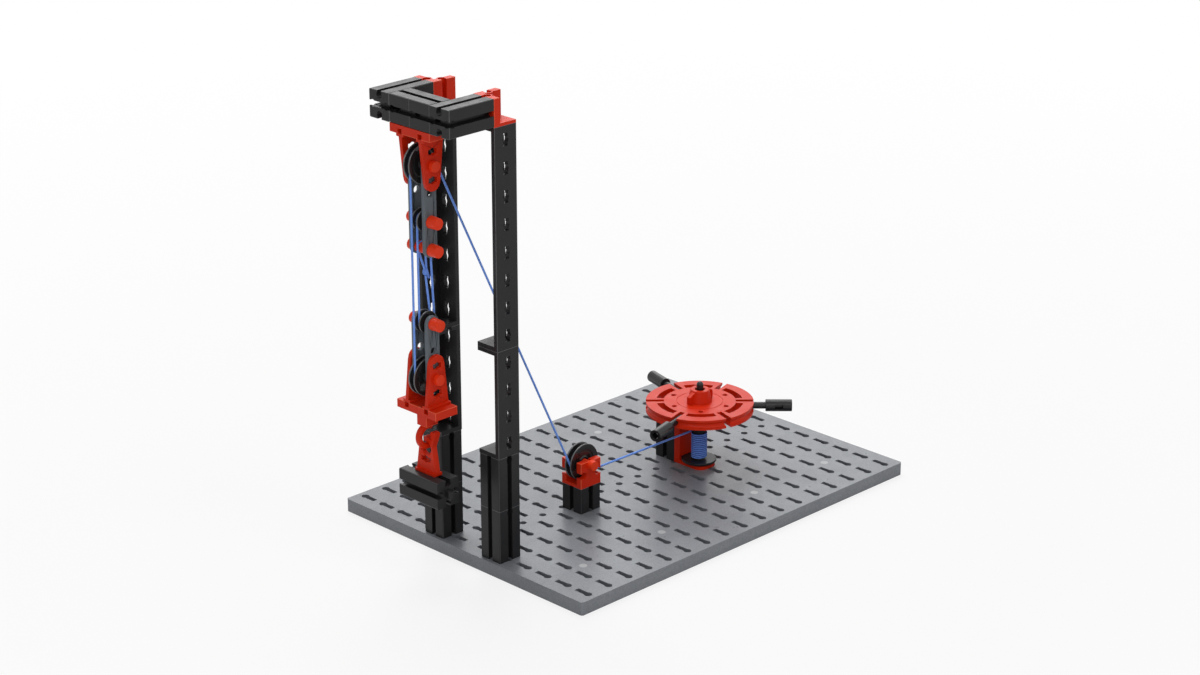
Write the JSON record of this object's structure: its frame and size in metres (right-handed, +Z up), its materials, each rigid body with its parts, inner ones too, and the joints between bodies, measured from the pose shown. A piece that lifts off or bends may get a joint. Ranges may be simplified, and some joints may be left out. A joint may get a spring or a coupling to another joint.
{
  "type": "pulley demonstrator",
  "caption": "Classroom pulley rig: grid plate with two masts, a hanging block and tackle with a small load, and a hand winch that winds the cord.",
  "frame": {"origin": "centre of the base plate's underside", "axes": "+X along the plate from the masts to the winch, +Z up, +Y towards the left mast"},
  "size_m": [0.29, 0.187, 0.2625],
  "materials": {
    "red_plastic": "satin moulded plastic",
    "black_plastic": "satin moulded plastic",
    "grey_plastic": "fine satin moulded plastic",
    "cord": "smooth thin braided cord"
  },
  "bodies": {
    "root": {"base_plate": "grey_plastic", "right_mast_block_lower": "black_plastic", "left_mast_block_lower": "black_plastic", "right_mast_block_upper": "black_plastic", "left_mast_block_upper": "black_plastic", "right_girder_lower": "black_plastic", "left_girder_lower": "black_plastic", "right_girder_upper": "black_plastic", "left_girder_upper": "black_plastic", "right_corner_bracket": "red_plastic", "left_corner_bracket": "red_plastic", "right_arm_block": "black_plastic", "left_arm_block": "black_plastic", "right_crossbar_block": "black_plastic", "left_crossbar_block": "black_plastic", "upper_block_base": "red_plastic", "upper_cheek_right": "red_plastic", "upper_cheek_left": "red_plastic", "upper_strut_right": "grey_plastic", "upper_strut_left": "grey_plastic", "upper_axle": "red_plastic", "upper_small_pin": "red_plastic", "upper_small_sleeves": "red_plastic", "anchor_pin": "red_plastic", "anchor_sleeves": "red_plastic", "anchor_bushes": "red_plastic", "fork_block": "black_plastic", "fork_bracket": "red_plastic", "fork_axle": "red_plastic", "winch_block": "black_plastic", "winch_bracket": "red_plastic", "cord_lead": "cord", "cord_upper_wrap": "cord", "cord_falls": "cord", "cord_knot": "cord"},
    "lower_block": {"lower_block_base": "red_plastic", "lower_cheek_right": "red_plastic", "lower_cheek_left": "red_plastic", "lower_strut_right": "grey_plastic", "lower_strut_left": "grey_plastic", "lower_axle": "red_plastic", "lower_small_pin": "red_plastic", "lower_small_sleeves": "red_plastic", "hook_socket": "red_plastic", "load_hook": "red_plastic", "cord_lower_wraps": "cord"},
    "load": {"load_eye": "red_plastic", "load_block": "black_plastic"},
    "upper_big_sheave": {"upper_big_sheave": "black_plastic"},
    "upper_small_sheave": {"upper_small_sheave": "black_plastic"},
    "lower_big_sheave": {"lower_big_sheave": "black_plastic"},
    "lower_small_sheave": {"lower_small_sheave": "black_plastic"},
    "fork_sheave": {"fork_sheave": "black_plastic"},
    "winch": {"winch_axle": "black_plastic", "winch_drum": "black_plastic", "crank_disc": "red_plastic", "hub_nut": "red_plastic", "handle_rods": "black_plastic", "handle_sleeves": "black_plastic", "cord_winding": "cord"}
  },
  "joints": [
    {"name": "winch_turn", "type": "hinge", "parent": "root", "child": "winch", "pos_m": [0.045, -0.0125, 0.0275], "axis": [0, 0, 1], "range_deg": [-859, 2291], "deforming": ["cord_winding"]},
    {"name": "load_lift", "type": "slide", "parent": "root", "child": "lower_block", "axis": [0, 0, 1], "range_m": [-0.0401, 0.0151], "deforming": ["cord_falls"]},
    {"name": "load_swing", "type": "hinge", "parent": "lower_block", "child": "load", "pos_m": [-0.15, 0, 0.07255], "axis": [1, 0, 0], "range_deg": [-15, 15]},
    {"name": "upper_big_spin", "type": "hinge", "parent": "root", "child": "upper_big_sheave", "pos_m": [-0.15, 0, 0.228], "axis": [0, 1, 0], "range_deg": [-1198.9, 450.2]},
    {"name": "upper_small_spin", "type": "hinge", "parent": "root", "child": "upper_small_sheave", "pos_m": [-0.15, 0, 0.198], "axis": [0, 1, 0], "range_deg": [-1191.1, 447.2]},
    {"name": "lower_big_spin", "type": "hinge", "parent": "lower_block", "child": "lower_big_sheave", "pos_m": [-0.15, 0, 0.113], "axis": [0, 1, 0], "range_deg": [-899.4, 337.9]},
    {"name": "lower_small_spin", "type": "hinge", "parent": "lower_block", "child": "lower_small_sheave", "pos_m": [-0.15, 0, 0.143], "axis": [0, 1, 0], "range_deg": [-596.1, 224.1]},
    {"name": "fork_spin", "type": "hinge", "parent": "root", "child": "fork_sheave", "pos_m": [-0.045, -0.0075, 0.03525], "axis": [0, 1, 0], "range_deg": [-450.2, 1198.9]}
  ],
  "couplings": [
    {"joint": "load_lift", "follows": "winch_turn", "m_per_rad": -0.001},
    {"joint": "upper_big_spin", "follows": "winch_turn", "ratio": -0.52288},
    {"joint": "lower_big_spin", "follows": "winch_turn", "ratio": -0.39216},
    {"joint": "upper_small_spin", "follows": "winch_turn", "ratio": -0.51948},
    {"joint": "lower_small_spin", "follows": "winch_turn", "ratio": -0.25974},
    {"joint": "fork_spin", "follows": "winch_turn", "ratio": 0.52288}
  ]
}
